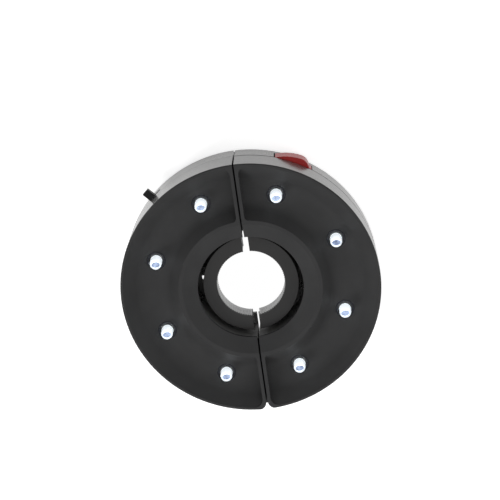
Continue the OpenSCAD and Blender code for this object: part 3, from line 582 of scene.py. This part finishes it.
# ---------- light, floor and backdrop ----------
WHITE = (1, 1, 1, 1)
SKY = 0.5  # the backdrop's strength as a light; the camera and reflections see it white
FLOOR_COLOUR = (0.9, 0.9, 0.9, 1)
FLOOR_R = 3.0
FLOOR_STEP_R = 80.5 * MM  # the back's edge: outside it the floor is in plain sight
FLOOR_HOLE_R = 40 * MM
FLOOR_Z = -0.3 * MM  # a hair below the back, so that the two never share a plane
FLOOR_SEGMENTS = 128
CAMERA_LIFT = 0.6  # the floor's own light for the camera: its shadow stays, barely
GLOSSY_LIFT = 0.4  # and for reflections
SKIN_RAY = 14 * MM  # under the part, the floor lets through rays shorter than this
OPEN_REACH = 60 * MM  # how far up the floor looks for the part
OPEN_SAMPLES = 8
OPEN_FROM_TO = (0.1, 0.4)
KEY = {"place": (-1.0, -0.8, 0.85), "size": 0.7, "watts": 14}
FILL = {"place": (0.9, -0.1, 0.9), "size": 0.9, "watts": 3}
CARD_GREY = (0.12, 0.12, 0.12, 1)
CARD_R = 0.6
CARD_Z = (0.03, 0.62)
CARD_TURN = 55  # degrees, on either side of the latch end
CARD_PANELS = 12


class Stage(Nodes):
    """The node tree of the world or a floor, with the sums that its light needs."""

    def open_above(self):
        """1 where nothing stands over the floor, 0 under the part."""
        cover = self.add("ShaderNodeAmbientOcclusion", Distance=OPEN_REACH)
        cover.samples = OPEN_SAMPLES
        return self.span(cover.outputs["AO"], 0.0, 1.0, *OPEN_FROM_TO)

    def white_rays(self, glossy=1.0):
        """1 for camera rays and glossy for reflections: what should see the white backdrop."""
        rays = self.add("ShaderNodeLightPath").outputs
        mirrored = self.larger(rays["Is Glossy Ray"], rays["Is Transmission Ray"])
        return self.larger(rays["Is Camera Ray"], self.span(mirrored, 0.0, glossy))


def make_world():
    world = bpy.data.worlds.new("studio")
    bpy.context.scene.world = world
    world.use_nodes = True
    stage = Stage(world.node_tree)
    stage.fill(stage.tree.nodes["Background"], Color=WHITE,
               Strength=stage.span(stage.white_rays(), SKY, 1.0))


def floor_material(name, under_part):
    """Pale and matte, lifted towards white for the camera; see-through from below.

    Under the part it is also see-through for light that has only just left the part's back.
    """
    material = bpy.data.materials.new(name)
    material.use_nodes = True
    material.node_tree.nodes.clear()
    stage = Stage(material.node_tree)
    lifted = stage.span(stage.white_rays(GLOSSY_LIFT / CAMERA_LIFT), 0.0, CAMERA_LIFT)
    see_through = stage.add("ShaderNodeNewGeometry").outputs["Backfacing"]
    if under_part:
        lifted = stage.product(lifted, stage.open_above())
        ray_length = stage.add("ShaderNodeLightPath").outputs["Ray Length"]
        see_through = stage.larger(see_through, stage.under(ray_length, SKIN_RAY))
    matte = stage.add("ShaderNodeBsdfDiffuse", Color=FLOOR_COLOUR)
    lift = stage.add("ShaderNodeEmission", Strength=lifted)
    both = stage.add("ShaderNodeAddShader")
    stage.put(matte.outputs[0], both.inputs[0])
    stage.put(lift.outputs[0], both.inputs[1])
    clear = stage.add("ShaderNodeBsdfTransparent")
    sided = stage.add("ShaderNodeMixShader", Fac=see_through)
    stage.put(both.outputs[0], sided.inputs[1])
    stage.put(clear.outputs[0], sided.inputs[2])
    stage.add("ShaderNodeOutputMaterial", Surface=sided.outputs[0])
    return material


def floor_ring(name, inner_r, outer_r, material):
    bm = bmesh.new()
    inner, outer = (circle(bm, Vector((0, 0, 0)), radius, FLOOR_Z, FLOOR_SEGMENTS)
                    for radius in (inner_r, outer_r))
    band(bm, outer, inner)
    ring = mesh_object(name, bm, material)


def make_floor():
    """A wide ring, and a ring under the part, which is open below the bore."""
    floor_ring("floor", FLOOR_STEP_R, FLOOR_R, floor_material("floor_white", False))
    floor_ring("floor_under", FLOOR_HOLE_R, FLOOR_STEP_R, floor_material("floor_white_under", True))


def soft_lamp(name, place, size, watts):
    """A round area light that looks at the origin and doesn't show in reflections."""
    data = bpy.data.lights.new(name, "AREA")
    data.shape = "DISK"
    data.size = size
    data.energy = watts
    lamp = bpy.data.objects.new(name, data)
    lamp.location = place
    lamp.rotation_euler = (-Vector(place)).to_track_quat("-Z", "Y").to_euler()
    lamp.visible_glossy = False
    show(lamp)


def dark_card():
    """A dark panel beyond the latch end, seen only in reflections, which shades the slopes."""
    bm = bmesh.new()
    columns = []
    for i in range(CARD_PANELS + 1):
        a = math.radians(-CARD_TURN + 2 * CARD_TURN * i / CARD_PANELS)
        columns.append([bm.verts.new((CARD_R * math.sin(a), CARD_R * math.cos(a), z))
                        for z in CARD_Z])
    for one, two in zip(columns, columns[1:]):
        bm.faces.new((one[0], two[0], two[1], one[1]))
    material = bpy.data.materials.new("card_grey")
    material.use_nodes = True
    grey = material.node_tree.nodes["Principled BSDF"]
    grey.inputs["Base Color"].default_value = CARD_GREY
    card = mesh_object("dark_card", bm, material)
    card.visible_camera = False
    card.visible_diffuse = False
    card.visible_shadow = False
    card.visible_transmission = False


def make_light():
    make_world()
    make_floor()
    dark_card()
    soft_lamp("key", **KEY)
    soft_lamp("fill", **FILL)


dress_nodes()
make_leds()
make_pads()
make_springs()
photo_camera()
make_light()

scene = bpy.context.scene
scene.view_settings.view_transform = "Standard"
